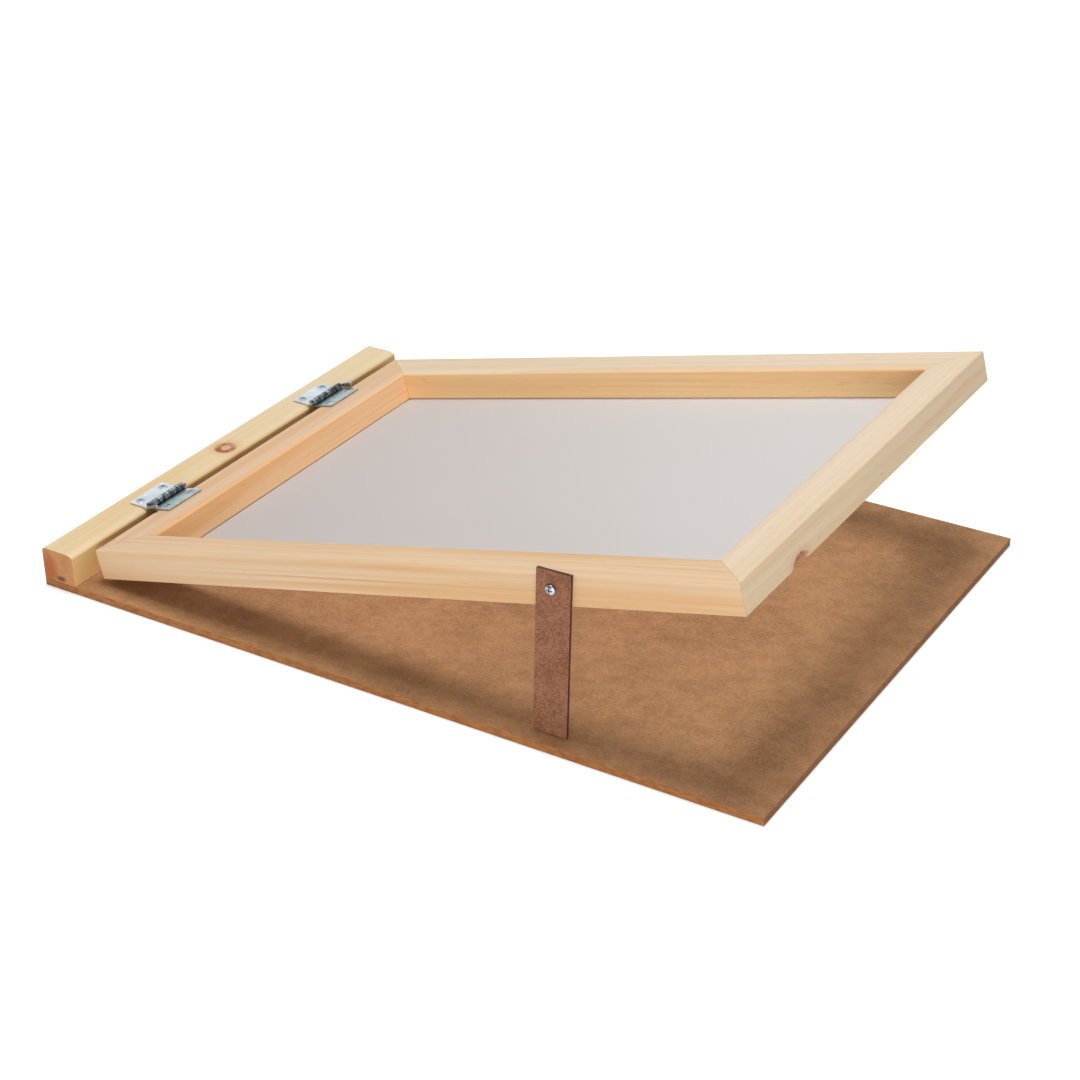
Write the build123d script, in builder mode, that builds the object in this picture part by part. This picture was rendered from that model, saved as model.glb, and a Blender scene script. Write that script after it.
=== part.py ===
from build123d import *
from math import cos, radians, sin, sqrt, tan
import os

# Tabletop screen printing press: a mitred wooden screen hinged to a hardboard base.
# Millimetres. The origin is the centre of the base board's underside, +X runs from the
# hinge rail to the front, +Y from the side with the prop leg to the far side, +Z up.
# The screen is drawn where it stands, raised on its prop leg.

os.makedirs("parts", exist_ok=True)

# Base board, which stands out past the closed screen, and the rail along its left edge
base_thickness = 4.0
base_side_margin = 9.5
base_front_margin = 9.9
rail_width = 19.0
rail_height = 16.8
rail_back_radius = 1.7

# The rail and the frame's sticks have one long top edge eased off more than the others
ease_width = 5.0
ease_drop = 2.0

# Screen frame
frame_length = 355.6
frame_width = 254.0
frame_thickness = 15.9
stick_width = 21.0
stick_edge_radius = 1.0
closed_gap = 6.5
prop_tilt = 13.64
chip_radius = 17.0
chip_depth = 2.1
chip_from_near_corner = 50.0

# Fabric, held by a cord pressed into a groove in the frame's underside
fabric_thickness = 0.4
cord_diameter = 3.0
cord_clearance = 0.05
groove_from_inside = 7.0
groove_corner_radius = 6.0

# Staples across the mitres
staple_wire = 1.0
staple_crown = 8.0
staple_depth = 9.0
staple_places = (5.0, 8.5)

# Loose-pin hinges
hinge_length = 25.4
hinge_spacing = 136.0
leaf_reach = 13.2
leaf_thickness = 1.0
leaf_corner_radius = 1.2
knuckle_count = 5
knuckle_gap = 0.3
pin_diameter = 2.0
pin_clearance = 0.05
pin_tail = 2.6
pin_handle = 7.5
pin_bend_radius = 1.5
pin_handle_lift = 6.0
pin_end_radius = 0.5
spare_hole_radius = 0.8
spare_hole_from_axis = 4.2

# Countersunk hinge screws and rail screws
screw_clearance = 0.1
hinge_screw_head = 2.3
hinge_screw_shank = 1.2
hinge_screw_length = 9.5
hinge_screw_crown = 0.5
hinge_screw_spacing = 17.4
hinge_screw_from_axis = 9.2
rail_screw_head = 3.4
rail_screw_shank = 1.7
rail_screw_length = 15.0
rail_screw_crown = 0.3
rail_screw_sink = 0.4
rail_screw_spacing = 100.0
screw_point_share = 2.0

# Prop leg and its screw
leg_width = 17.0
leg_thickness = 1.6
leg_above_screw = 8.7
leg_screw_offset = 1.0
leg_top_skew = 3.0
leg_lean = 2.0
leg_foot_clearance = 0.12
leg_side_clearance = 0.3
leg_pivot_from_front = 90.5
leg_pivot_depth = 6.8
leg_hole_clearance = 0.05
leg_screw_head = 2.5
leg_screw_head_height = 1.7
leg_screw_rim = 0.55
leg_screw_recess_depth = 1.35
leg_screw_shank = 1.3
leg_screw_grip = 11.0

# Cross recess in every screw head
recess_width = 0.5
recess_share = 0.62

# The board is cut to the closed screen
base_length = rail_width + closed_gap + frame_length + base_front_margin
base_width = frame_width + 2 * base_side_margin

# The hinge axis lies over the rail's inner edge, one barrel radius outside its two faces
pin_radius = pin_diameter / 2
barrel_radius = pin_radius + pin_clearance + leaf_thickness
rail_face_x = rail_width - base_length / 2
axis_x = rail_face_x + barrel_radius
axis_z = base_thickness + rail_height + barrel_radius

# Planes: level with the hinge axis, and the same plane tipped up with the screen
level_plane = Plane(origin=(axis_x, 0, axis_z))
tilt = radians(prop_tilt)
screen_plane = Plane(
    origin=(axis_x, 0, axis_z), x_dir=(cos(tilt), 0, sin(tilt)), z_dir=(-sin(tilt), 0, cos(tilt))
)
frame_top = screen_plane.offset(-barrel_radius)
frame_underside = frame_top.offset(-frame_thickness)

# The frame's corners in its own plane, measured from the hinge axis
frame_start = closed_gap - barrel_radius
frame_end = frame_start + frame_length
frame_middle = (frame_start + frame_end) / 2
half_width = frame_width / 2
outer_corners = [
    (frame_start, -half_width),
    (frame_end, -half_width),
    (frame_end, half_width),
    (frame_start, half_width),
]
inner_corners = [
    (frame_start + stick_width, stick_width - half_width),
    (frame_end - stick_width, stick_width - half_width),
    (frame_end - stick_width, half_width - stick_width),
    (frame_start + stick_width, half_width - stick_width),
]

# The groove holds two layers of fabric and the cord
groove_width = cord_diameter + 2 * (fabric_thickness + cord_clearance)
groove_depth = cord_diameter + fabric_thickness + cord_clearance
groove_length_outer = frame_length - 2 * stick_width + 2 * groove_from_inside + groove_width
groove_width_outer = frame_width - 2 * stick_width + 2 * groove_from_inside + groove_width
groove_length_inner = groove_length_outer - 2 * groove_width
groove_width_inner = groove_width_outer - 2 * groove_width
groove_inner_radius = groove_corner_radius - groove_width


def moved(plane, across, along, height=0.0):
    """The same plane, moved in its own three directions."""
    origin = plane.from_local_coords((across, along, height))
    return Plane(origin, x_dir=plane.x_dir, z_dir=plane.z_dir)


def along_normal(plane):
    """A plane that holds the normal of another one, with that normal as its Y direction."""
    return Plane(plane.origin, x_dir=plane.x_dir, z_dir=-plane.y_dir)


# Where the screws go: each plane lies on the face under the head, with its normal outward
rail_middle_x = rail_face_x - rail_width / 2
rail_screw_seats = [
    Plane(origin=(rail_middle_x, row * rail_screw_spacing, rail_screw_sink), z_dir=(0, 0, -1))
    for row in (-1, 0, 1)
]
hinge_places = {"near": -hinge_spacing / 2, "far": hinge_spacing / 2}
leaf_top = leaf_thickness - barrel_radius
through_leaf = 2 * leaf_thickness


def leaf_screw_seats(plane, side, hinge_middle):
    """The two screw seats on one leaf; side is -1 toward the rail and 1 toward the frame."""
    return [
        moved(plane, side * hinge_screw_from_axis, hinge_middle + row * hinge_screw_spacing / 2, leaf_top)
        for row in (-1, 1)
    ]


rail_leaf_seats = {
    name: leaf_screw_seats(level_plane, -1, middle) for name, middle in hinge_places.items()
}
frame_leaf_seats = {
    name: leaf_screw_seats(screen_plane, 1, middle) for name, middle in hinge_places.items()
}

# The prop leg's pivot on the near stick's outer side
pivot_point = screen_plane.from_local_coords(
    (frame_end - leg_pivot_from_front, -half_width, -barrel_radius - leg_pivot_depth)
)
stick_side = Plane(pivot_point, x_dir=(1, 0, 0), z_dir=(0, -1, 0))
lean = radians(leg_lean)
leg_back = Plane(
    (pivot_point.X, pivot_point.Y - leg_side_clearance, pivot_point.Z),
    x_dir=(cos(lean), 0, -sin(lean)),
    z_dir=(0, -1, 0),
)
leg_screw_seat = stick_side.offset(leg_thickness + 2 * leg_side_clearance)


def staple_planes():
    """Planes on the frame's underside, centred on the mitres, with X square to them."""
    planes = []
    for (outer_u, outer_y), (inner_u, inner_y) in zip(outer_corners, inner_corners):
        square_u = (outer_y - inner_y) / stick_width
        square_y = (inner_u - outer_u) / stick_width
        crown_direction = frame_underside.x_dir * square_u + frame_underside.y_dir * square_y
        for place in staple_places:
            share = place / stick_width
            across = outer_u + share * (inner_u - outer_u)
            along = outer_y + share * (inner_y - outer_y)
            centre = frame_underside.from_local_coords((across, along, 0))
            planes.append(Plane(centre, x_dir=crown_direction, z_dir=frame_underside.z_dir))
    return planes


staple_legs = [(side * (staple_crown - staple_wire) / 2, 0) for side in (-1, 1)]
ON_TOP = (Align.CENTER, Align.CENTER, Align.MIN)


# --- Base board -----------------------------------------------------------------------
with BuildPart() as base_board:
    with BuildSketch(Plane.XY):
        Rectangle(base_length, base_width)
    extrude(amount=base_thickness)
    with Locations(*rail_screw_seats):
        CounterSinkHole(
            rail_screw_shank + screw_clearance,
            rail_screw_head + screw_clearance,
            depth=rail_screw_length,
            counter_sink_angle=90,
        )
base_board.part.label = "base_board"
export_step(base_board.part, "parts/base_board.step")

# --- Hinge rail, with its top eased off toward the screen --------------------------------
rail_section = Plane(
    (rail_face_x - rail_width, base_width / 2, base_thickness), x_dir=(1, 0, 0), z_dir=(0, -1, 0)
)
with BuildPart() as hinge_rail:
    with BuildSketch(rail_section) as outline:
        with BuildLine():
            Polyline(
                (rail_width, rail_height - ease_drop),
                (rail_width, 0),
                (0, 0),
                (0, rail_height),
                (rail_width - ease_width, rail_height),
            )
            EllipticalCenterArc(
                (rail_width - ease_width, rail_height - ease_drop),
                ease_width,
                ease_drop,
                start_angle=0,
                arc_size=90,
            )
        make_face()
        fillet(outline.vertices().group_by(Axis.X)[0].sort_by(Axis.Y)[-1], rail_back_radius)
    extrude(amount=base_width)
    with Locations(*rail_screw_seats):
        Hole(rail_screw_shank + screw_clearance, depth=rail_screw_length + screw_clearance)
    with Locations(*rail_leaf_seats["near"], *rail_leaf_seats["far"]):
        Hole(hinge_screw_shank + screw_clearance, depth=hinge_screw_length + screw_clearance)
hinge_rail.part.label = "hinge_rail"
export_step(hinge_rail.part, "parts/hinge_rail.step")


# --- Countersunk screws -----------------------------------------------------------------
def countersunk_screws(seats, head_radius, shank_radius, length, crown):
    """Oval-headed wood screws with a pointed end, one at each seat."""
    head_depth = head_radius - shank_radius
    with BuildPart() as screws:
        for seat in seats:
            with BuildSketch(along_normal(seat)):
                with BuildLine():
                    Polyline(
                        (0, crown),
                        (0, -length),
                        (shank_radius, screw_point_share * shank_radius - length),
                        (shank_radius, -head_depth),
                        (head_radius, 0),
                    )
                    TangentArc((0, crown), (head_radius, 0), tangent=(1, 0))
                make_face()
            revolve(axis=Axis(seat.origin, seat.z_dir))
            with BuildSketch(seat.offset(crown)):
                Rectangle(2 * recess_share * head_radius, recess_width)
                Rectangle(recess_width, 2 * recess_share * head_radius)
            extrude(amount=-(crown + head_depth), mode=Mode.SUBTRACT)
    return screws


rail_screws = countersunk_screws(
    rail_screw_seats, rail_screw_head, rail_screw_shank, rail_screw_length, rail_screw_crown
)
rail_screws.part.label = "rail_screws"
export_step(rail_screws.part, "parts/rail_screws.step")


# --- Mitred sticks of the screen frame --------------------------------------------------
def mitred_stick(start):
    """The stick from one corner of the frame to the next, with its share of the groove."""
    end = (start + 1) % len(outer_corners)
    corner = frame_underside.from_local_coords(outer_corners[start])
    grain = frame_underside.from_local_coords(outer_corners[end]) - corner
    section = Plane(corner, x_dir=frame_underside.z_dir.cross(grain), z_dir=grain)
    with BuildPart() as stick:
        with BuildSketch(section) as outline:
            with BuildLine():
                Polyline(
                    (stick_width, frame_thickness - ease_drop),
                    (stick_width, 0),
                    (0, 0),
                    (0, frame_thickness),
                    (stick_width - ease_width, frame_thickness),
                )
                EllipticalCenterArc(
                    (stick_width - ease_width, frame_thickness - ease_drop),
                    ease_width,
                    ease_drop,
                    start_angle=0,
                    arc_size=90,
                )
            make_face()
            outside, *_, inside = outline.vertices().group_by(Axis.X)
            fillet([*outside, inside.sort_by(Axis.Y)[0]], stick_edge_radius)
        extrude(amount=grain.length)
        with BuildSketch(frame_underside):
            with BuildLine():
                Polyline(
                    outer_corners[start],
                    outer_corners[end],
                    inner_corners[end],
                    inner_corners[start],
                    close=True,
                )
            make_face()
        extrude(amount=frame_thickness, mode=Mode.INTERSECT)
        with BuildSketch(frame_underside):
            with Locations((frame_middle, 0)):
                RectangleRounded(groove_length_outer, groove_width_outer, groove_corner_radius)
                RectangleRounded(
                    groove_length_inner, groove_width_inner, groove_inner_radius, mode=Mode.SUBTRACT
                )
        extrude(amount=groove_depth, mode=Mode.SUBTRACT)
        with Locations(*staple_planes()):
            Box(staple_crown, staple_wire, staple_wire, align=ON_TOP, mode=Mode.SUBTRACT)
            with Locations(*staple_legs):
                Box(staple_wire, staple_wire, staple_depth, align=ON_TOP, mode=Mode.SUBTRACT)
    return stick


plain_near_stick = mitred_stick(0)
with BuildPart() as near_stick:
    add(plain_near_stick.part)
    with Locations(stick_side):
        Hole(leg_screw_shank + screw_clearance, depth=leg_screw_grip + screw_clearance)
near_stick.part.label = "frame_near_stick"
export_step(near_stick.part, "parts/frame_near_stick.step")

# A knot has broken out of the front stick's lower edge
chip_offset = chip_radius / sqrt(2) - chip_depth
chip_centre = frame_underside.from_local_coords(
    (frame_end + chip_offset, chip_from_near_corner - half_width, -chip_offset)
)
plain_front_stick = mitred_stick(1)
with BuildPart() as front_stick:
    add(plain_front_stick.part)
    with Locations(chip_centre):
        Sphere(chip_radius, mode=Mode.SUBTRACT)
front_stick.part.label = "frame_front_stick"
export_step(front_stick.part, "parts/frame_front_stick.step")

far_stick = mitred_stick(2)
far_stick.part.label = "frame_far_stick"
export_step(far_stick.part, "parts/frame_far_stick.step")

plain_hinge_stick = mitred_stick(3)
with BuildPart() as hinge_stick:
    add(plain_hinge_stick.part)
    with Locations(*frame_leaf_seats["near"], *frame_leaf_seats["far"]):
        Hole(hinge_screw_shank + screw_clearance, depth=hinge_screw_length + screw_clearance)
hinge_stick.part.label = "frame_hinge_stick"
export_step(hinge_stick.part, "parts/frame_hinge_stick.step")

# --- Staples across the mitres ----------------------------------------------------------
with BuildPart() as mitre_staples:
    with Locations(*staple_planes()):
        Box(staple_crown, staple_wire, staple_wire, align=ON_TOP)
        with Locations(*staple_legs):
            Box(staple_wire, staple_wire, staple_depth, align=ON_TOP)
mitre_staples.part.label = "mitre_staples"
export_step(mitre_staples.part, "parts/mitre_staples.step")

# --- Fabric: a flat sheet under the frame that dips into the groove ----------------------
with BuildPart() as screen_fabric:
    with BuildSketch(frame_underside.offset(-fabric_thickness)):
        with Locations((frame_middle, 0)):
            RectangleRounded(groove_length_outer, groove_width_outer, groove_corner_radius)
    extrude(amount=fabric_thickness + groove_depth)
    with BuildSketch(frame_underside):
        with Locations((frame_middle, 0)):
            RectangleRounded(groove_length_inner, groove_width_inner, groove_inner_radius)
    extrude(amount=groove_depth, mode=Mode.SUBTRACT)
    with BuildSketch(frame_underside.offset(-fabric_thickness)):
        with Locations((frame_middle, 0)):
            RectangleRounded(
                groove_length_outer - 2 * fabric_thickness,
                groove_width_outer - 2 * fabric_thickness,
                groove_corner_radius - fabric_thickness,
            )
            RectangleRounded(
                groove_length_inner + 2 * fabric_thickness,
                groove_width_inner + 2 * fabric_thickness,
                groove_inner_radius + fabric_thickness,
                mode=Mode.SUBTRACT,
            )
    extrude(amount=groove_depth, mode=Mode.SUBTRACT)
screen_fabric.part.label = "screen_fabric"
export_step(screen_fabric.part, "parts/screen_fabric.step")

# --- Cord pressed into the groove ---------------------------------------------------------
cord_length = groove_length_outer - groove_width
cord_width = groove_width_outer - groove_width
cord_plane = frame_underside.offset(groove_depth - fabric_thickness - cord_clearance - cord_diameter / 2)
with BuildPart() as groove_cord:
    with BuildLine(moved(cord_plane, frame_middle, 0)) as cord_route:
        FilletPolyline(
            (-cord_length / 2, -cord_width / 2),
            (cord_length / 2, -cord_width / 2),
            (cord_length / 2, cord_width / 2),
            (-cord_length / 2, cord_width / 2),
            radius=groove_corner_radius - groove_width / 2,
            close=True,
        )
    with BuildSketch(Plane(cord_route.line @ 0, z_dir=cord_route.line % 0)):
        Circle(cord_diameter / 2)
    sweep()
groove_cord.part.label = "groove_cord"
export_step(groove_cord.part, "parts/groove_cord.step")


# --- Hinges ---------------------------------------------------------------------------
knuckle_pitch = hinge_length / knuckle_count


def hinge_leaf(plane, side, hinge_middle, first_knuckle, seats):
    """A leaf with every second knuckle; side is -1 toward the rail and 1 toward the frame."""
    outward = (Align.MIN, Align.CENTER) if side > 0 else (Align.MAX, Align.CENTER)
    barrel_start = hinge_middle - hinge_length / 2
    with BuildPart() as leaf:
        with BuildSketch(plane.offset(-barrel_radius)) as outline:
            with Locations((0, hinge_middle)):
                Rectangle(leaf_reach, hinge_length, align=outward)
            fillet(outline.vertices().sort_by(Axis((0, 0, 0), (side, 0, 0)))[-2:], leaf_corner_radius)
        extrude(amount=leaf_thickness)
        for knuckle in range(knuckle_count):
            low = barrel_start + knuckle * knuckle_pitch
            if knuckle % 2 == first_knuckle % 2:
                with BuildSketch(along_normal(moved(plane, 0, low + knuckle_gap / 2))):
                    Circle(barrel_radius)
                extrude(amount=-(knuckle_pitch - knuckle_gap))
            else:
                with BuildSketch(plane.offset(-barrel_radius)):
                    with Locations((0, low + knuckle_pitch / 2)):
                        Rectangle(2 * (barrel_radius + knuckle_gap), knuckle_pitch + knuckle_gap)
                extrude(amount=2 * barrel_radius, mode=Mode.SUBTRACT)
        with BuildSketch(along_normal(moved(plane, 0, barrel_start))):
            Circle(pin_radius + pin_clearance)
        extrude(amount=-hinge_length, mode=Mode.SUBTRACT)
        with Locations(*seats):
            CounterSinkHole(
                hinge_screw_shank + screw_clearance,
                hinge_screw_head + screw_clearance,
                depth=through_leaf,
                counter_sink_angle=90,
            )
        if side < 0:
            spare_place = hinge_middle - hinge_screw_spacing / 2
            with Locations(moved(plane, -spare_hole_from_axis, spare_place, leaf_top)):
                Hole(spare_hole_radius, depth=through_leaf)
    return leaf


def hinge_pin(outward, hinge_middle):
    """A loose pin with a bent handle at the hinge's outer end."""
    lift = radians(prop_tilt + pin_handle_lift)
    handle_direction = Vector(cos(lift), 0, sin(lift))
    pull_direction = Vector(0, outward, 0)
    bend = hinge_length / 2 + knuckle_gap + pin_bend_radius
    pin_plane = Plane(
        origin=(axis_x, hinge_middle, axis_z),
        x_dir=pull_direction,
        z_dir=pull_direction.cross(handle_direction),
    )
    with BuildPart() as pin:
        with BuildLine(pin_plane) as pin_route:
            FilletPolyline(
                (-hinge_length / 2 - pin_tail, 0), (bend, 0), (bend, pin_handle), radius=pin_bend_radius
            )
        with BuildSketch(Plane(pin_route.line @ 0, z_dir=pin_route.line % 0)):
            Circle(pin_radius)
        sweep()
        fillet(pin.faces().filter_by(GeomType.PLANE).edges(), pin_end_radius)
    return pin


for name, outward in (("near", -1), ("far", 1)):
    middle = hinge_places[name]
    rail_leaf = hinge_leaf(level_plane, -1, middle, 0, rail_leaf_seats[name])
    rail_leaf.part.label = f"{name}_rail_leaf"
    export_step(rail_leaf.part, f"parts/{name}_rail_leaf.step")

    frame_leaf = hinge_leaf(screen_plane, 1, middle, 1, frame_leaf_seats[name])
    frame_leaf.part.label = f"{name}_frame_leaf"
    export_step(frame_leaf.part, f"parts/{name}_frame_leaf.step")

    pin = hinge_pin(outward, middle)
    pin.part.label = f"{name}_hinge_pin"
    export_step(pin.part, f"parts/{name}_hinge_pin.step")

    for leaf_name, seats in (("rail", rail_leaf_seats[name]), ("frame", frame_leaf_seats[name])):
        leaf_screws = countersunk_screws(
            seats, hinge_screw_head, hinge_screw_shank, hinge_screw_length, hinge_screw_crown
        )
        leaf_screws.part.label = f"{name}_{leaf_name}_leaf_screws"
        export_step(leaf_screws.part, f"parts/{name}_{leaf_name}_leaf_screws.step")

# --- Prop leg: its foot's far corner just clears the board as it swings past ---------------
leg_left = leg_screw_offset - leg_width / 2
leg_right = leg_screw_offset + leg_width / 2
leg_reach = pivot_point.Z - base_thickness - leg_foot_clearance
leg_foot = -sqrt(leg_reach**2 - leg_right**2)
leg_skew_rise = leg_width * tan(radians(leg_top_skew))
with BuildPart() as prop_leg:
    with BuildSketch(leg_back):
        with BuildLine():
            Polyline(
                (leg_left, leg_foot),
                (leg_right, leg_foot),
                (leg_right, leg_above_screw + leg_skew_rise / 2),
                (leg_left, leg_above_screw - leg_skew_rise / 2),
                close=True,
            )
        make_face()
    extrude(amount=leg_thickness)
    with Locations(leg_back.offset(leg_thickness)):
        Hole(leg_screw_shank + leg_hole_clearance)
prop_leg.part.label = "prop_leg"
export_step(prop_leg.part, "parts/prop_leg.step")

# --- Round-headed screw that the leg turns on ------------------------------------------------
leg_screw_length = leg_thickness + 2 * leg_side_clearance + leg_screw_grip
with BuildPart() as prop_leg_screw:
    with BuildSketch(along_normal(leg_screw_seat)):
        with BuildLine():
            Polyline(
                (0, leg_screw_head_height),
                (0, -leg_screw_length),
                (leg_screw_shank, screw_point_share * leg_screw_shank - leg_screw_length),
                (leg_screw_shank, 0),
                (leg_screw_head, 0),
                (leg_screw_head, leg_screw_rim),
            )
            EllipticalCenterArc(
                (0, leg_screw_rim),
                leg_screw_head,
                leg_screw_head_height - leg_screw_rim,
                start_angle=0,
                arc_size=90,
            )
        make_face()
    revolve(axis=Axis(leg_screw_seat.origin, leg_screw_seat.z_dir))
    with BuildSketch(leg_screw_seat.offset(leg_screw_head_height)):
        Rectangle(2 * recess_share * leg_screw_head, recess_width)
        Rectangle(recess_width, 2 * recess_share * leg_screw_head)
    extrude(amount=-leg_screw_recess_depth, mode=Mode.SUBTRACT)
prop_leg_screw.part.label = "prop_leg_screw"
export_step(prop_leg_screw.part, "parts/prop_leg_screw.step")
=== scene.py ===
# %% [markdown]
# # A tabletop screen printing press
#
# The press is a pine screen frame on two loose-pin hinges, held up by a strip of
# hardboard over a hardboard base. The imported model already holds every rigid piece at
# its real size. This lesson dresses those pieces: it places the camera, lights a plain
# table, makes the woods, boards and metals out of shader nodes, and weaves the two soft
# pieces, the screen fabric and the cord that holds it.

# %% Load the imported press
import math
import bmesh
import bpy
from mathutils import Matrix, Vector


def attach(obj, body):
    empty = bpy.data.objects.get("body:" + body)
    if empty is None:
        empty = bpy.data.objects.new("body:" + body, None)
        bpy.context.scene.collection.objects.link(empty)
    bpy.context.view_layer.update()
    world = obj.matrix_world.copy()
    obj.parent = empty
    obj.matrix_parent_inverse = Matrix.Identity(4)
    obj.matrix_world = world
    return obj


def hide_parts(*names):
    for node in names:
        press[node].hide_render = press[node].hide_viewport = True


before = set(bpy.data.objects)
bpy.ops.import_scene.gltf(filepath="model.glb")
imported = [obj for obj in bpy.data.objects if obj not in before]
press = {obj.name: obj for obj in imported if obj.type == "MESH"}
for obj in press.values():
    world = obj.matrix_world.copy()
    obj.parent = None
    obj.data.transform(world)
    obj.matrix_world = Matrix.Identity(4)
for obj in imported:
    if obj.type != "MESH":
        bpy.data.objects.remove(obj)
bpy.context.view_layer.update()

MM = 0.001
print("pieces in the press:", len(press))

# %% [markdown]
# ## The camera
#
# The press was looked at from its front left corner, from a little over a metre away
# and half a metre up. A camera is placed by its position and the two directions that
# its picture has to the right and up. The third axis of a Blender camera points
# backward, out of the lens, so it is the cross product of the other two.

# %% Place the camera
CAMERA_PLACE = Vector((523.03, -834.03, 563.66)) * MM
CAMERA_RIGHT = Vector((0.85264133, 0.52235557, -0.01214138))
CAMERA_UP = Vector((-0.24569930, 0.42134631, 0.87298290))
LENS_MM = 76.51

camera = bpy.data.objects.new("camera", bpy.data.cameras.new("camera"))
camera.data.lens = LENS_MM
camera.data.sensor_width = 36
backward = CAMERA_RIGHT.cross(CAMERA_UP)
camera_axes = Matrix((CAMERA_RIGHT, CAMERA_UP, backward)).transposed()
camera.matrix_world = Matrix.Translation(CAMERA_PLACE) @ camera_axes.to_4x4()
bpy.context.scene.collection.objects.link(camera)
bpy.context.scene.camera = camera
bpy.context.scene.view_settings.view_transform = "Standard"
print("camera is", round(CAMERA_PLACE.length, 2), "m from the middle of the base")

# %% [markdown]
# ## Helpers for shader nodes
#
# A procedural finish is a chain of small steps, so each step gets a short helper. `put`
# makes one node and fills its inputs, and a value that is itself a socket is linked.
# Colours are written as the usual 0 to 255 numbers and turned into the linear values
# that the renderer works with.

# %% Node helpers
def paint(red, green, blue):
    """A screen colour as the linear colour that a socket takes."""
    def linear(value):
        share = value / 255
        return share / 12.92 if share <= 0.04045 else ((share + 0.055) / 1.055) ** 2.4
    return (linear(red), linear(green), linear(blue), 1.0)


def put(tree, kind, inputs, **settings):
    """One shader node with its settings and inputs, as its outputs."""
    made = tree.nodes.new("ShaderNode" + kind)
    for name, value in settings.items():
        setattr(made, name, value)
    for name, value in inputs.items():
        if isinstance(value, bpy.types.NodeSocket):
            tree.links.new(value, made.inputs[name])
        else:
            made.inputs[name].default_value = value
    return made.outputs


def calc(tree, operation, *values):
    """One step of arithmetic on numbers or sockets."""
    return put(tree, "Math", dict(enumerate(values)), operation=operation)[0]


def between(tree, value, low, high):
    """How far value has come from low to high, eased, from 0 to 1."""
    made = put(tree, "MapRange", {0: value, 1: low, 2: high}, interpolation_type="SMOOTHSTEP")
    return made[0]


def mixed(tree, share, first, second, way="MIX"):
    """Two colours mixed by a share."""
    settings = {"data_type": "RGBA", "blend_type": way}
    return put(tree, "Mix", {0: share, 6: first, 7: second}, **settings)[2]


def cloud(tree, where, scale, detail=2.0, roughness=0.5):
    """Soft noise from 0 to 1, with about that many lumps to a metre."""
    inputs = {"Vector": where, "Scale": scale, "Detail": detail, "Roughness": roughness}
    return put(tree, "TexNoise", inputs)[0]


def placed(tree, where, move=(0, 0, 0), turn=(0, 0, 0), stretch=(1, 1, 1)):
    """Coordinates that are stretched, turned and moved."""
    inputs = {"Vector": where, "Location": move, "Rotation": turn, "Scale": stretch}
    return put(tree, "Mapping", inputs)[0]


def start_finish(name):
    """A new material, its tree, its main shader and the piece's own coordinates."""
    finish = bpy.data.materials.new(name)
    finish.use_nodes = True
    tree = finish.node_tree
    return finish, tree, tree.nodes["Principled BSDF"], put(tree, "TexCoord", {})


def raise_by(tree, shader, height, distance, strength=1.0):
    """Bump: height from 0 to 1 lifts the surface by that distance."""
    inputs = {"Height": height, "Distance": distance, "Strength": strength}
    tree.links.new(put(tree, "Bump", inputs)[0], shader.inputs["Normal"])


def dress(finish, *names):
    """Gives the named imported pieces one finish."""
    for name in names:
        press[name].data.materials.clear()
        press[name].data.materials.append(finish)
    print(finish.name, "goes on", ", ".join(names))


# %% [markdown]
# ## Light and a plain table
#
# A printing press for a shop window is lit flat and soft. The world gives light from all
# round. A lamp overhead prints the shade of the sticks on the base, with the brighter
# patch that shines through the fabric between them, and a wide one low at the front
# lights the sides of the sticks. The table is a large pale sheet. Where only the camera
# sees it, a little glow lifts it to white, more so far out where the lamps fade, and its
# shadows stay. Metal is only as lively
# as the room that it mirrors, so gloss meets a white wall behind the press that falls off
# to a dim room in front of it.

# %% Light the table
WORLD_LIGHT = 0.30
LAMPS = {
    "overhead_lamp": (Vector((-0.03, 0.08, 1.7)), 0.62, 18.5),
    "front_lamp": (Vector((0.95, -1.60, 0.32)), 0.8, 16.5),
}
TABLE_SIZE = 8.0
TABLE_DROP = 0.3 * MM
TABLE_GLOW, FAR_GLOW = 0.46, 0.76
LIT_ROUND = 0.6, 1.6
WHITE_WALL = Vector((-0.50, 0.60, 0.62))
DIM_ROOM = 0.05


def seen_directly(tree):
    """1 for rays from the camera or off a mirror, and 0 for rays that carry light."""
    rays = put(tree, "LightPath", {})
    return calc(tree, "MAXIMUM", rays["Is Camera Ray"], rays["Is Glossy Ray"])


world = bpy.data.worlds.new("studio")
world.use_nodes = True
bpy.context.scene.world = world
air = world.node_tree
rays = put(air, "LightPath", {})
looking = put(air, "TexCoord", {})["Generated"]
to_wall = put(air, "VectorMath", {0: looking, 1: WHITE_WALL}, operation="DOT_PRODUCT")["Value"]
mirrored = calc(air, "MULTIPLY_ADD", between(air, to_wall, 0.6, 0.98), 0.95, DIM_ROOM)
mirrored = calc(air, "MULTIPLY", rays["Is Glossy Ray"], mirrored)
strength = calc(air, "MAXIMUM", calc(air, "MAXIMUM", rays["Is Camera Ray"], mirrored), WORLD_LIGHT)
glow = air.nodes["Background"]
glow.inputs["Color"].default_value = (1, 1, 1, 1)
air.links.new(strength, glow.inputs["Strength"])

for name, (place, size, watts) in LAMPS.items():
    lamp = bpy.data.objects.new(name, bpy.data.lights.new(name, "AREA"))
    lamp.data.energy = watts
    lamp.data.size = size
    lamp.location = place
    lamp.rotation_euler = (-place).to_track_quat("-Z", "Y").to_euler()
    bpy.context.scene.collection.objects.link(lamp)
    print(name, "stands", round(place.length, 2), "m away")

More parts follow.
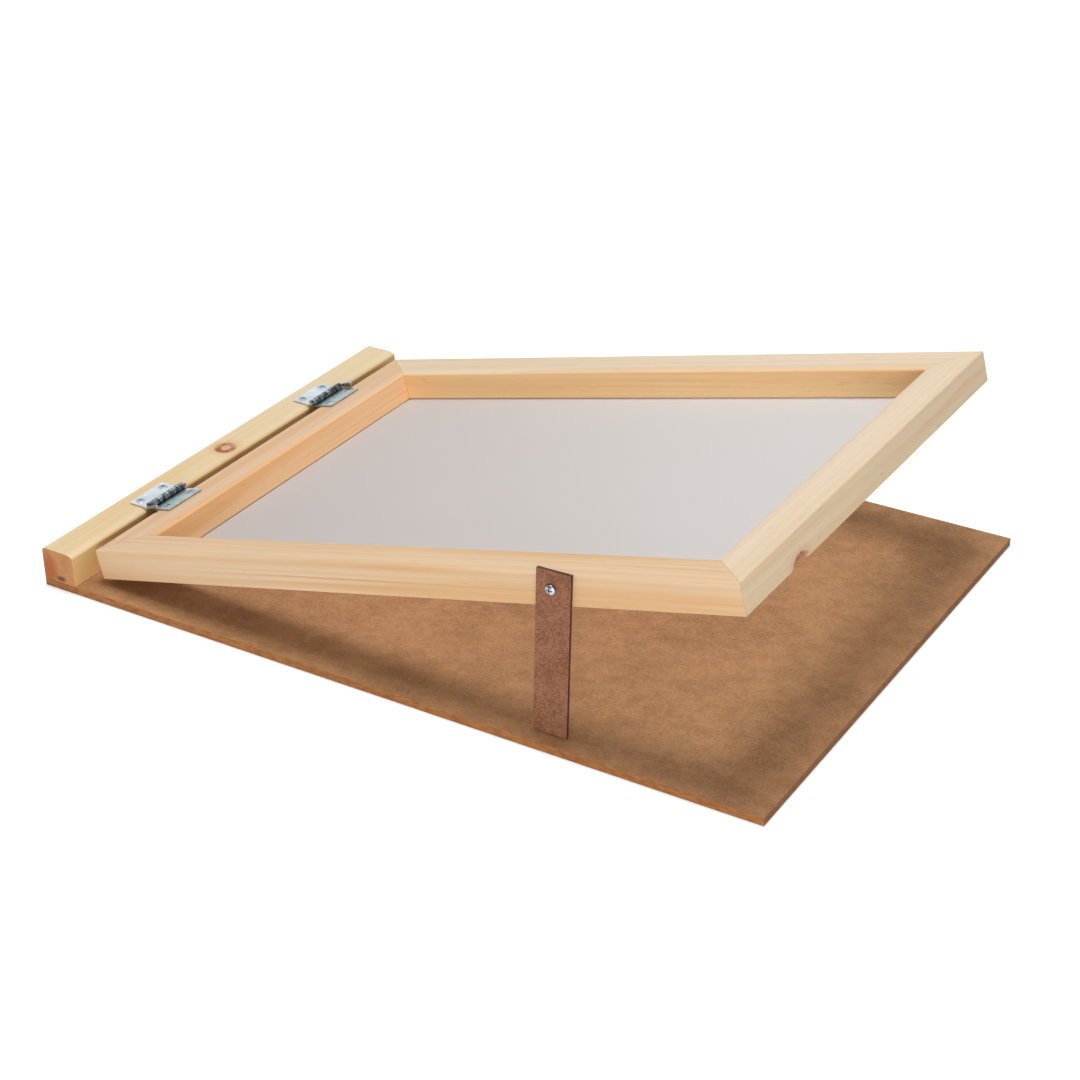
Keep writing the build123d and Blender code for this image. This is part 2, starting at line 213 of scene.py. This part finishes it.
table_mesh = bmesh.new()
bmesh.ops.create_grid(table_mesh, x_segments=1, y_segments=1, size=TABLE_SIZE / 2)
bmesh.ops.translate(table_mesh, verts=table_mesh.verts, vec=(0, 0, -TABLE_DROP))
table = bpy.data.objects.new("table", bpy.data.meshes.new("table"))
table_mesh.to_mesh(table.data)
table_mesh.free()
bpy.context.scene.collection.objects.link(table)

table_white, tree, shader, where = start_finish("table_white")
shader.inputs["Base Color"].default_value = paint(236, 236, 236)
shader.inputs["Roughness"].default_value = 0.9
shader.inputs["Emission Color"].default_value = (1, 1, 1, 1)
far_out = put(tree, "VectorMath", {0: where["Object"]}, operation="LENGTH")["Value"]
far_out = between(tree, far_out, *LIT_ROUND)
table_glow = calc(tree, "MULTIPLY_ADD", far_out, FAR_GLOW - TABLE_GLOW, TABLE_GLOW)
table_glow = calc(tree, "MULTIPLY", table_glow, seen_directly(tree))
tree.links.new(table_glow, shader.inputs["Emission Strength"])
table.data.materials.append(table_white)

# %% [markdown]
# ## Where the screen lies
#
# The screen is raised on its prop leg, so its sticks and its fabric lie in a tilted
# plane. Its own directions are `u`, from the hinge to the front, `y` across, and `w` up
# through the thickness. Finishes turn the piece's coordinates by the same tilt, so that
# grain and weave run along the wood and not through it.

# %% Measure the screen
TILT = math.radians(13.64)
HINGE_AXIS = Vector((-174.45, 0, 22.85)) * MM
FRAME_START, FRAME_END = 4.45 * MM, 360.05 * MM
HALF_WIDTH = 127.0 * MM
UNDERSIDE = -17.95 * MM

to_screen = Matrix.Translation(HINGE_AXIS) @ Matrix.Rotation(-TILT, 4, "Y")
turned_axis = Matrix.Rotation(TILT, 4, "Y") @ HINGE_AXIS


def screen_place(tree, where):
    """The place on the screen as u, y and w."""
    return placed(tree, where["Object"], move=-turned_axis, turn=(0, TILT, 0))


print("hinge axis is", round(HINGE_AXIS.z / MM, 2), "mm above the table")

# %% [markdown]
# ## Pine
#
# Pine is pale early wood between darker lines of late wood, one pair for each year of
# the tree. The rings are round the tree's heart, far to one side of such a small stick,
# so they are made as distances from a far line: then they run as straight lines along
# the stick, bow gently where it was cut across them, and turn the corner on to the next
# face as they do in real wood. A slow warp keeps them from looking ruled. Finer steps
# add fibres, a few short resin dashes, the darker end grain and the thin joint lines.

# %% The pine recipe
def year_rings(tree, along, heart, gap, warp):
    """Early wood as 0, rising to late wood as 1, once for each year."""
    slow = cloud(tree, placed(tree, along, stretch=(2.5, 16, 16)), 1.0, detail=1.0)
    fast = cloud(tree, placed(tree, along, stretch=(9, 90, 90)), 1.0, detail=2.0)
    flat = put(tree, "SeparateXYZ", {0: along})
    aside = calc(tree, "SUBTRACT", flat[1], heart[0])
    below = calc(tree, "SUBTRACT", flat[2], heart[1])
    from_heart = put(tree, "CombineXYZ", {1: aside, 2: below})[0]
    radius = put(tree, "VectorMath", {0: from_heart}, operation="LENGTH")["Value"]
    bent = calc(tree, "MULTIPLY_ADD", slow, warp, radius)
    bent = calc(tree, "MULTIPLY_ADD", fast, warp * 0.16, bent)
    age = calc(tree, "DIVIDE", bent, gap)
    weather = put(tree, "TexNoise", {"W": age, "Scale": 0.31}, noise_dimensions="1D")[0]
    age = calc(tree, "MULTIPLY_ADD", weather, 2.2, age)
    year = calc(tree, "FRACT", age)
    rise = between(tree, year, 0.2, 0.86)
    fall = between(tree, year, 0.9, 1.0)
    summer = put(tree, "TexWhiteNoise", {"W": calc(tree, "FLOOR", age)}, noise_dimensions="1D")[0]
    strength = calc(tree, "MULTIPLY_ADD", summer, 0.75, 0.25)
    return calc(tree, "MULTIPLY", calc(tree, "SUBTRACT", rise, fall), strength)


def knot_distance(tree, where, knot, long_share):
    """Distance from a knot, as if it were drawn out along the grain."""
    centre, radius, stretch = knot
    offset = placed(tree, where, move=-Vector(centre))
    scaled = placed(tree, offset, stretch=stretch)
    rough = cloud(tree, placed(tree, where), 260, detail=3.0)
    distance = put(tree, "VectorMath", {0: scaled}, operation="LENGTH")["Value"]
    return calc(tree, "MULTIPLY_ADD", rough, radius * long_share, distance)


def pine(
    name, turn, heart, gap, pale, late, warmth, warm_share=0.6, warp=14 * MM,
    knot=None, knot_core=(226, 176, 136), stains=(), joints=(), painted_light_tints=(),
):
    """Pine with its grain along x after the turn."""
    finish, tree, shader, where = start_finish(name)
    along = placed(tree, where["Object"], turn=turn)
    years = year_rings(tree, along, heart, gap, warp)
    shade = cloud(tree, placed(tree, along, stretch=(7, 60, 60)), 1.0, detail=2.0)
    years = calc(tree, "MULTIPLY", years, calc(tree, "MULTIPLY", between(tree, shade, 0.25, 0.8), 0.8))
    colour = mixed(tree, years, paint(*pale), paint(*late))

    broad = cloud(tree, placed(tree, along, stretch=(4, 95, 95)), 1.0, detail=1.0)
    warmer = calc(tree, "MULTIPLY", between(tree, broad, 0.4, 0.68), warm_share)
    colour = mixed(tree, warmer, colour, paint(*warmth))

    fibre = cloud(tree, placed(tree, along, stretch=(26, 1500, 1500)), 1.0, detail=3.0)
    streak = calc(tree, "MULTIPLY_ADD", fibre, 0.12, 0.94)
    streak_colour = put(tree, "CombineColor", {0: streak, 1: streak, 2: streak})[0]
    colour = mixed(tree, 1.0, colour, streak_colour, "MULTIPLY")

    dashes = cloud(tree, placed(tree, along, stretch=(110, 2600, 2600)), 1.0, detail=0.0)
    dashes = calc(tree, "MULTIPLY", between(tree, dashes, 0.76, 0.84), 0.35)
    colour = mixed(tree, dashes, colour, paint(168, 112, 66))

    turned_normal = placed(tree, where["Normal"], turn=turn)
    facing = calc(tree, "ABSOLUTE", put(tree, "SeparateXYZ", {0: turned_normal})[0])
    end_grain = between(tree, facing, 0.75, 0.95)
    pores = cloud(tree, where["Object"], 1900, detail=2.0)
    end_colour = mixed(
        tree, calc(tree, "MULTIPLY", years, 0.5), paint(211, 154, 100), paint(160, 94, 52)
    )
    red = between(tree, cloud(tree, where["Object"], 95, detail=2.0), 0.45, 0.65)
    end_colour = mixed(tree, calc(tree, "MULTIPLY", red, 0.3), end_colour, paint(164, 92, 50))
    end_colour = mixed(tree, calc(tree, "MULTIPLY", pores, 0.25), end_colour, paint(120, 66, 38))
    colour = mixed(tree, end_grain, colour, end_colour)

    if knot is not None:
        distance = knot_distance(tree, where["Object"], knot, 0.35)
        share = calc(tree, "DIVIDE", distance, knot[1])
        ring = calc(
            tree, "MULTIPLY", between(tree, share, 0.5, 0.76), between(tree, share, 1.32, 1.08)
        )
        patchy = between(tree, cloud(tree, where["Object"], 210, detail=1.0), 0.3, 0.6)
        ring = calc(tree, "MULTIPLY", ring, calc(tree, "MULTIPLY_ADD", patchy, 0.6, 0.4))
        halo = between(tree, share, 2.1, 1.2)
        inside = between(tree, share, 0.8, 0.5)
        core = calc(tree, "MULTIPLY", between(tree, share, 0.42, 0.25), 0.5)
        colour = mixed(tree, calc(tree, "MULTIPLY", halo, 0.3), colour, paint(214, 150, 96))
        colour = mixed(tree, calc(tree, "MULTIPLY", inside, 0.75), colour, paint(*knot_core))
        colour = mixed(tree, calc(tree, "MULTIPLY", ring, 0.9), colour, paint(150, 76, 50))
        colour = mixed(tree, core, colour, paint(*[value * 0.72 for value in knot_core]))

    for stain, stain_colour in stains:
        distance = knot_distance(tree, where["Object"], stain, 0.6)
        share = calc(tree, "DIVIDE", distance, stain[1])
        stained = calc(tree, "MULTIPLY", between(tree, share, 1.6, 0.6), 0.8)
        colour = mixed(tree, stained, colour, paint(*stain_colour))

    if joints:
        spot = put(tree, "SeparateXYZ", {0: screen_place(tree, where)})
        reach = {
            "hinge": calc(tree, "SUBTRACT", spot[0], FRAME_START),
            "front": calc(tree, "SUBTRACT", FRAME_END, spot[0]),
            "near": calc(tree, "ADD", spot[1], HALF_WIDTH),
            "far": calc(tree, "SUBTRACT", HALF_WIDTH, spot[1]),
        }
        for end, side in joints:
            apart = calc(tree, "ABSOLUTE", calc(tree, "SUBTRACT", reach[end], reach[side]))
            line = calc(tree, "MULTIPLY", between(tree, apart, 0.3 * MM, 0.05 * MM), 0.3)
            colour = mixed(tree, line, colour, paint(150, 100, 62))

    # Faces turned a given way get a warmer tone, brighter on inner faces and darker on the front
    # stick's outer face: painted light and painted shade, for the warm light that the fabric and the
    # base bounce on to the inner faces.
    for direction, painted_light_factor in painted_light_tints:
        inputs = {0: where["Normal"], 1: direction}
        turned_share = put(tree, "VectorMath", inputs, operation="DOT_PRODUCT")["Value"]
        painted_light_colour = mixed(tree, 1.0, colour, (*painted_light_factor, 1.0), "MULTIPLY")
        colour = mixed(tree, between(tree, turned_share, 0.35, 0.85), colour, painted_light_colour)

    tree.links.new(colour, shader.inputs["Base Color"])
    matt = calc(tree, "MULTIPLY_ADD", fibre, 0.2, 0.5)
    tree.links.new(matt, shader.inputs["Roughness"])
    shader.inputs["Specular IOR Level"].default_value = 0.3
    raise_by(tree, shader, calc(tree, "ADD", fibre, years), 0.05 * MM, strength=0.6)
    return finish


# %% [markdown]
# Each stick came from its own part of a tree, so each gets its own colours, ring gap and
# heart. The near stick is pinkish with close lines, the front one nearly cream, and the
# rail yellower, with one round knot that shows as a red ring on its top.

# %% Pine on the sticks and the rail
ALONG_SCREEN = (0, TILT, 0)
ACROSS_SCREEN = (0, TILT, -math.pi / 2)
ACROSS_BASE = (0, 0, -math.pi / 2)

near_pine = pine(
    "near_pine", ALONG_SCREEN, (-0.190, -0.012), 2.6 * MM, (231, 200, 163), (206, 156, 105),
    warmth=(222, 172, 116), joints=[("hinge", "near"), ("front", "near")], warm_share=0.65,
    warp=10 * MM,
    painted_light_tints=[((0, 1, 0), (1.10, 0.98, 0.80))],
)
dress(near_pine, "frame_near_stick")

far_pine = pine(
    "far_pine", ALONG_SCREEN, (0.05, 0.13), 2.9 * MM, (234, 214, 188), (218, 184, 144),
    warmth=(228, 198, 160), joints=[("hinge", "far"), ("front", "far")],
    painted_light_tints=[((0, -1, 0), (1.18, 0.97, 0.68))],
)
dress(far_pine, "frame_far_stick")

front_pine = pine(
    "front_pine", ACROSS_SCREEN, (-0.26, 0.02), 3.4 * MM, (234, 214, 188), (222, 194, 158),
    warmth=(228, 202, 166), joints=[("front", "near"), ("front", "far")],
    painted_light_tints=[
        ((-math.cos(TILT), 0, -math.sin(TILT)), (1.14, 0.96, 0.74)),
        ((math.cos(TILT), 0, math.sin(TILT)), (1.0, 0.95, 0.86)),
    ],
    knot=((179.7 * MM, -77 * MM, 90.3 * MM), 5.0 * MM, (1.0, 0.7, 1.0)),
    knot_core=(108, 58, 36),
)
dress(front_pine, "frame_front_stick")

hinge_pine = pine(
    "hinge_pine", ACROSS_SCREEN, (0.10, 0.15), 3.1 * MM, (231, 198, 164), (216, 172, 130),
    warmth=(226, 176, 124), joints=[("hinge", "near"), ("hinge", "far")],
    painted_light_tints=[((math.cos(TILT), 0, math.sin(TILT)), (1.20, 1.08, 0.90))],
)
dress(hinge_pine, "frame_hinge_stick")

rail_pine = pine(
    "rail_pine", ACROSS_BASE, (0.24, -0.03), 3.3 * MM, (233, 212, 174), (221, 186, 136),
    warmth=(231, 195, 142), painted_light_tints=[((1, 0, 0), (1.0, 0.86, 0.62))],
    knot=((-184.7 * MM, -7.0 * MM, 12 * MM), 5.4 * MM, (1.0, 0.9, 0.0)),
    stains=[
        (((-193.0 * MM, -136.5 * MM, 9 * MM), 7.5 * MM, (1.0, 2.0, 0.7)), (174, 88, 38)),
        (((-184.8 * MM, -136.5 * MM, 6.0 * MM), 1.8 * MM, (0.6, 1.0, 1.1)), (44, 22, 12)),
    ],
)
dress(rail_pine, "hinge_rail")

# %% [markdown]
# ## Hardboard
#
# Hardboard is wet wood fibre pressed flat between a polished plate and a wire screen. Its
# top is smooth brown with clouds and short fibres, its sawn edge is lighter, orange and
# layered, and its underside keeps the print of the wire. One recipe covers all three:
# the piece's own normal tells which face a point is on.

# %% The hardboard recipe
def hardboard(name, face, dark, edge, edge_dark, speckle, fineness, flat_axis, wire, painted_end_shade=0.0):
    """Pressed fibre; flat_axis is the axis square to the board, from 0 for x to 2 for z."""
    finish, tree, shader, where = start_finish(name)
    here = where["Object"]
    clouds = cloud(tree, here, 14, detail=3.0, roughness=0.6)
    lumps = cloud(tree, here, 130, detail=3.0, roughness=0.6)
    fibres = put(
        tree, "TexNoise",
        {"Vector": here, "Scale": fineness, "Detail": 3.0, "Roughness": 0.6, "Distortion": 0.8},
    )[0]
    flecks = cloud(tree, here, fineness * 1.4, detail=1.0)
    dark_share = calc(tree, "MULTIPLY", between(tree, clouds, 0.34, 0.72), 0.3)
    dark_share = calc(tree, "MULTIPLY_ADD", between(tree, lumps, 0.3, 0.7), 0.3, dark_share)
    dark_share = calc(
        tree, "MULTIPLY_ADD", between(tree, fibres, 0.38, 0.62), 0.9 * speckle, dark_share
    )
    colour = mixed(tree, dark_share, paint(*face), paint(*dark))
    speck = calc(tree, "MULTIPLY", between(tree, flecks, 0.6, 0.75), speckle)
    colour = mixed(tree, speck, colour, paint(*[value * 0.62 for value in dark]))

    layers = cloud(tree, placed(tree, here, stretch=(260, 260, 900)), 1.0, detail=3.0)
    edge_colour = mixed(tree, between(tree, layers, 0.3, 0.7), paint(*edge), paint(*edge_dark))
    normal = put(tree, "SeparateXYZ", {0: where["Normal"]})
    # The edges that face front and back are darkened: painted shade, for the little light that reaches
    # them.
    painted_end_share = calc(tree, "MULTIPLY", calc(tree, "ABSOLUTE", normal[0]), painted_end_shade)
    edge_colour = mixed(tree, painted_end_share, edge_colour, paint(*[value * 0.5 for value in edge]))
    on_face = between(tree, calc(tree, "ABSOLUTE", normal[flat_axis]), 0.5, 0.8)
    colour = mixed(tree, on_face, edge_colour, colour)

    height = calc(tree, "MULTIPLY_ADD", fibres, 0.6, calc(tree, "MULTIPLY", flecks, 0.4))
    if wire:
        below = between(tree, normal[2], -0.5, -0.8)
        spot = put(tree, "SeparateXYZ", {0: here})
        cross = [
            calc(tree, "SINE", calc(tree, "MULTIPLY", spot[axis], math.tau / (1.6 * MM)))
            for axis in (0, 1)
        ]
        print_of_wire = calc(tree, "MULTIPLY", calc(tree, "MULTIPLY", *cross), 0.5)
        printed = calc(tree, "MULTIPLY", print_of_wire, below)
        height = calc(tree, "MULTIPLY_ADD", printed, 3.0, height)
        # The lowest parts of the wire print are painted darker: painted shade on top of the bump.
        wire_hollow_shade = calc(tree, "MULTIPLY", between(tree, printed, 0.05, -0.4), 0.6)
        colour = mixed(tree, wire_hollow_shade, colour, paint(*[value * 0.6 for value in dark]))

    tree.links.new(colour, shader.inputs["Base Color"])
    shader.inputs["Specular IOR Level"].default_value = 0.25
    matt = calc(tree, "MULTIPLY_ADD", lumps, 0.25, 0.52)
    tree.links.new(matt, shader.inputs["Roughness"])
    raise_by(tree, shader, height, 0.06 * MM, strength=0.7)
    return finish


# %% Hardboard on the base and the leg
base_hardboard = hardboard(
    "base_hardboard", (191, 145, 101), (143, 100, 66), (180, 119, 65), (150, 95, 52),
    speckle=0.36, fineness=860, flat_axis=2, wire=True, painted_end_shade=0.5,
)
dress(base_hardboard, "base_board")
leg_board = hardboard(
    "leg_board", (174, 120, 88), (122, 76, 54), (98, 60, 44), (74, 44, 34),
    speckle=0.75, fineness=1150, flat_axis=1, wire=False,
)
dress(leg_board, "prop_leg")

# %% [markdown]
# ## Zinc plate
#
# The hinges are pressed from zinc plated strip: pale, slightly blue, and not quite even.
# A metal shows what stands round it, so most of its look is the studio. Its knuckle gaps
# and screw recesses are painted darker, as painted shade and dirt, and the Ambient
# Occlusion node finds those hollows by itself, whatever way the screw happens to be
# turned. The rolled knuckles round the pin are painted darker than the flat leaves, with
# fine streaks along them: a painted dark reflection. So the finish also asks how far a
# point is from the hinge's axis.

# %% The zinc recipe
def zinc(name, bright, dull, painted_hollow_shade, gloss, barrel_reflection=0.0, shade_from=0.85, shade_to=0.35):
    """Plated steel, painted darker in its hollows as painted shade and dirt."""
    finish, tree, shader, where = start_finish(name)
    here = where["Object"]
    haze = cloud(tree, here, 160, detail=3.0, roughness=0.6)
    grain = cloud(tree, here, 2600, detail=2.0)
    colour = mixed(tree, between(tree, haze, 0.3, 0.7), paint(*bright), paint(*dull))
    open_share = put(tree, "AmbientOcclusion", {"Distance": 1.6 * MM}, samples=8)["AO"]
    spot = put(tree, "SeparateXYZ", {0: placed(tree, here, move=-HINGE_AXIS)})
    from_axis = put(tree, "CombineXYZ", {0: spot[0], 2: spot[2]})[0]
    from_axis = put(tree, "VectorMath", {0: from_axis}, operation="LENGTH")["Value"]
    # Near the hinge's axis the knuckles are painted nearly black with fine streaks: a painted dark
    # reflection.
    rolled = calc(tree, "MULTIPLY", between(tree, from_axis, 2.5 * MM, 2.1 * MM), barrel_reflection)
    reflection_streaks = cloud(tree, placed(tree, here, stretch=(300, 1300, 300)), 1.0, detail=2.0)
    dark_reflection_colour = mixed(tree, between(tree, reflection_streaks, 0.42, 0.66), paint(50, 46, 44), paint(*dull))
    colour = mixed(tree, rolled, colour, dark_reflection_colour)
    # Hollows that Ambient Occlusion finds are painted darker: painted shade and dirt.
    painted_shade_share = calc(tree, "MULTIPLY", between(tree, open_share, shade_from, shade_to), 0.92)
    colour = mixed(tree, painted_shade_share, colour, paint(*painted_hollow_shade))
    tree.links.new(colour, shader.inputs["Base Color"])
    shader.inputs["Metallic"].default_value = 1.0
    tree.links.new(calc(tree, "MULTIPLY_ADD", haze, 0.18, gloss), shader.inputs["Roughness"])
    raise_by(tree, shader, grain, 0.01 * MM, strength=0.5)
    return finish


# %% Zinc on the hinges and screws
# Both hinge leaves are the same plated strip; the frame's leaves get a darker, greener copy, a painted
# duller reflection.
lit_rail_zinc = zinc("lit_rail_zinc", (226, 234, 240), (200, 211, 218), (40, 46, 50), 0.22, barrel_reflection=0.9)
shaded_frame_zinc = zinc("shaded_frame_zinc", (206, 224, 226), (176, 198, 201), (36, 42, 46), 0.22, barrel_reflection=0.9)
zinc_wire = zinc("zinc_wire", (196, 206, 212), (150, 160, 168), (34, 38, 42), 0.18)
plated_screw = zinc(
    "plated_screw", (214, 222, 228), (170, 182, 190), (20, 24, 28), 0.16,
    shade_from=0.97, shade_to=0.55,
)
bright_staple = zinc("bright_staple", (190, 192, 194), (150, 152, 154), (50, 48, 46), 0.3)
dress(lit_rail_zinc, "near_rail_leaf", "far_rail_leaf")
dress(shaded_frame_zinc, "near_frame_leaf", "far_frame_leaf")
dress(zinc_wire, "near_hinge_pin", "far_hinge_pin")
dress(
    plated_screw, "near_rail_leaf_screws", "near_frame_leaf_screws", "far_rail_leaf_screws",
    "far_frame_leaf_screws", "prop_leg_screw", "rail_screws",
)
dress(bright_staple, "mitre_staples")

# %% [markdown]
# ## The screen fabric
#
# The fabric is one flat sheet, stretched tight under the frame and pressed into a groove
# all round. Its shape is made the way it is fitted: a rectangle with rounded corners,
# whose rim is drawn up the groove's inner wall, over its roof and down its outer wall.
# Extruding the rim three times does that. At the corners each point has to move away
# from the centre of its own corner, so `push_out` works that direction out. A Solidify
# modifier gives the cloth its thickness.

# %% Helpers for rounded rectangles
def rounded_rectangle(length, width, radius, steps):
    """A bmesh with one face whose corners are rounded."""
    shape = bmesh.new()
    bmesh.ops.create_grid(shape, x_segments=1, y_segments=1, size=0.5)
    bmesh.ops.scale(shape, vec=(length, width, 1), verts=shape.verts)
    bmesh.ops.bevel(
        shape, geom=shape.verts[:], offset=radius, offset_type="OFFSET", segments=steps,
        profile=0.5, affect="VERTICES", material=-1,
    )
    return shape


def push_out(shape, points, corner, distance):
    """Moves rim points away from the rectangle that joins the corners' centres."""
    for point in points:
        flat = Vector((point.co.x, point.co.y))
        inside = Vector([math.copysign(min(abs(a), b), a) for a, b in zip(flat, corner)])
        away = (flat - inside).normalized() * distance
        bmesh.ops.translate(shape, verts=[point], vec=(away.x, away.y, 0))


def draw_rim(shape, rim):
    """Extrudes the rim and gives the new points and edges."""
    made = bmesh.ops.extrude_edge_only(shape, edges=rim)["geom"]
    points = [item for item in made if isinstance(item, bmesh.types.BMVert)]
    edges = [
        item for item in made
        if isinstance(item, bmesh.types.BMEdge) and all(end in points for end in item.verts)
    ]
    return points, edges


def finished(name, shape, finish, body, slot, *replaced):
    """Puts a shape in its place on the screen, with its finish and its body."""
    bmesh.ops.transform(shape, matrix=to_screen, verts=shape.verts)
    bmesh.ops.recalc_face_normals(shape, faces=shape.faces)
    piece = bpy.data.objects.new(name, bpy.data.meshes.new(name))
    shape.to_mesh(piece.data)
    shape.free()
    piece.data.materials.append(finish)
    bpy.context.scene.collection.objects.link(piece)
    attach(piece, body)
    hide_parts(*replaced)
    print(name, "has", len(piece.data.polygons), "faces")
    return piece


# %% Weave of the fabric
THREAD_GAP = 0.6 * MM
OPEN_SHARE = (0.88, 0.88, 0.88, 1)
fabric_weave, tree, shader, where = start_finish("fabric_weave")
spot = put(tree, "SeparateXYZ", {0: screen_place(tree, where)})
wave = [
    calc(tree, "SINE", calc(tree, "MULTIPLY", spot[axis], math.tau / THREAD_GAP))
    for axis in (0, 1)
]
crossing = calc(tree, "MULTIPLY", *wave)
haze = cloud(tree, where["Object"], 9, detail=2.0)
# The fabric is painted greyer at the hinge end and on the near side, and paler at the far front
# corner: painted shade.
away = calc(tree, "MULTIPLY_ADD", spot[1], 0.8, spot[0])
away = calc(tree, "MULTIPLY_ADD", haze, 0.05, away)
colour = mixed(tree, between(tree, away, -0.02, 0.42), paint(222, 219, 218), paint(231, 230, 229))
gaps = calc(tree, "MULTIPLY", between(tree, crossing, 0.4, -0.9), 0.08)
colour = mixed(tree, gaps, colour, paint(170, 160, 156))
tree.links.new(colour, shader.inputs["Base Color"])
shader.inputs["Roughness"].default_value = 0.7
shader.inputs["Specular IOR Level"].default_value = 0.25
shader.inputs["Sheen Weight"].default_value = 0.15
raise_by(tree, shader, crossing, 0.02 * MM, strength=0.5)
through = put(tree, "BsdfTranslucent", {"Color": colour})[0]
threads = put(tree, "MixShader", {0: 0.4, 1: shader.outputs[0], 2: through})[0]
holes = put(tree, "BsdfTransparent", {"Color": OPEN_SHARE})[0]
lamp_ray = put(tree, "LightPath", {})["Is Shadow Ray"]
both = put(tree, "MixShader", {0: lamp_ray, 1: threads, 2: holes})[0]
tree.links.new(both, tree.nodes["Material Output"].inputs["Surface"])

# %% Stretch the fabric
CLOTH = 0.25 * MM
GROOVE_LENGTH, GROOVE_BREADTH = 323.7 * MM, 222.1 * MM
GROOVE_RADIUS = 2.1 * MM
GROOVE_WIDTH, GROOVE_DEPTH = 3.9 * MM, 3.45 * MM
SCREEN_MIDDLE = (FRAME_START + FRAME_END) / 2
INSET = 0.2 * MM

corner_centres = (GROOVE_LENGTH / 2 - GROOVE_RADIUS, GROOVE_BREADTH / 2 - GROOVE_RADIUS)
cloth = rounded_rectangle(
    GROOVE_LENGTH + 2 * INSET, GROOVE_BREADTH + 2 * INSET, GROOVE_RADIUS + INSET, 6
)
rim = [edge for edge in cloth.edges if edge.is_boundary]
points, rim = draw_rim(cloth, rim)
bmesh.ops.translate(cloth, verts=points, vec=(0, 0, GROOVE_DEPTH))
points, rim = draw_rim(cloth, rim)
push_out(cloth, points, corner_centres, GROOVE_WIDTH - 2 * INSET)
points, rim = draw_rim(cloth, rim)
bmesh.ops.translate(cloth, verts=points, vec=(0, 0, -GROOVE_DEPTH))
bmesh.ops.translate(cloth, verts=cloth.verts, vec=(SCREEN_MIDDLE, 0, UNDERSIDE - INSET))
fabric = finished(
    "stretched_fabric", cloth, fabric_weave, "screen_frame", "screen_fabric", "screen_fabric"
)
thickness = fabric.modifiers.new("cloth", "SOLIDIFY")
thickness.thickness = CLOTH
thickness.offset = 0.0

# %% [markdown]
# ## The cord in the groove
#
# A thick cotton cord is hammered into the groove over the fabric. It is three strands
# twisted together. A curve does this without any modelling: its section is a shape with
# three lobes, and a tilt that grows from point to point twists them round each other. A
# whole number of turns lets the ends meet.

# %% Cotton for the cord
cotton, tree, shader, where = start_finish("cotton")
fuzz = cloud(tree, where["Object"], 1800, detail=4.0, roughness=0.7)
colour = mixed(tree, between(tree, fuzz, 0.3, 0.7), paint(232, 228, 216), paint(198, 190, 174))
tree.links.new(colour, shader.inputs["Base Color"])
shader.inputs["Roughness"].default_value = 0.95
shader.inputs["Sheen Weight"].default_value = 0.3
raise_by(tree, shader, fuzz, 0.1 * MM)

# %% Twist the cord
CORD_RADIUS = 1.5 * MM
CORD_HEIGHT = UNDERSIDE + GROOVE_DEPTH - 0.45 * MM - CORD_RADIUS
CORD_STEP = 0.9 * MM
TWIST_LENGTH = 11 * MM
LOBES = 3


def walk(points, step):
    """Points at an even distance along a closed line."""
    places, carried = [], 0.0
    for start, end in zip(points, points[1:] + points[:1]):
        run = (end - start).length
        while carried < run:
            places.append(start.lerp(end, carried / run))
            carried += step
        carried -= run
    return places


half_groove = GROOVE_WIDTH / 2
route = rounded_rectangle(
    GROOVE_LENGTH + GROOVE_WIDTH, GROOVE_BREADTH + GROOVE_WIDTH, GROOVE_RADIUS + half_groove, 8
)
bmesh.ops.translate(route, verts=route.verts, vec=(SCREEN_MIDDLE, 0, CORD_HEIGHT))
corners = [corner.vert.co.copy() for corner in route.faces[:][0].loops]
route.free()
places = walk(corners, CORD_STEP)
cord_length = sum((b - a).length for a, b in zip(corners, corners[1:] + corners[:1]))

section = bpy.data.curves.new("cord_section", "CURVE")
section.dimensions = "2D"
lobes = section.splines.new("POLY")
lobes.points.add(17)
lobes.use_cyclic_u = True
for number, point in enumerate(lobes.points):
    angle = math.tau * number / len(lobes.points)
    radius = CORD_RADIUS * (0.86 + 0.14 * math.cos(LOBES * angle))
    point.co = (radius * math.cos(angle), radius * math.sin(angle), 0, 1)
section_object = bpy.data.objects.new("cord_section", section)
bpy.context.scene.collection.objects.link(section_object)

line = bpy.data.curves.new("cord_line", "CURVE")
line.dimensions = "3D"
line.bevel_mode = "OBJECT"
line.bevel_object = section_object
line.twist_mode = "Z_UP"
spline = line.splines.new("POLY")
spline.points.add(len(places) - 1)
spline.use_cyclic_u = True
turns = round(cord_length / TWIST_LENGTH)
for number, (point, place) in enumerate(zip(spline.points, places)):
    point.co = (*place, 1)
    point.tilt = math.tau * turns * number / len(places)
line_object = bpy.data.objects.new("cord_line", line)
bpy.context.scene.collection.objects.link(line_object)
bpy.context.view_layer.update()
drawn = line_object.evaluated_get(bpy.context.evaluated_depsgraph_get())
cord_shape = bmesh.new()
cord_shape.from_mesh(bpy.data.meshes.new_from_object(drawn))
bpy.data.objects.remove(line_object)
bpy.data.objects.remove(section_object)
bmesh.ops.remove_doubles(cord_shape, verts=cord_shape.verts, dist=0.01 * MM)
cord = finished("twisted_cord", cord_shape, cotton, "screen_frame", "cord_fibre", "groove_cord")
for face in cord.data.polygons:
    face.use_smooth = True
print("the cord is", round(cord_length / MM), "mm long with", turns, "turns")
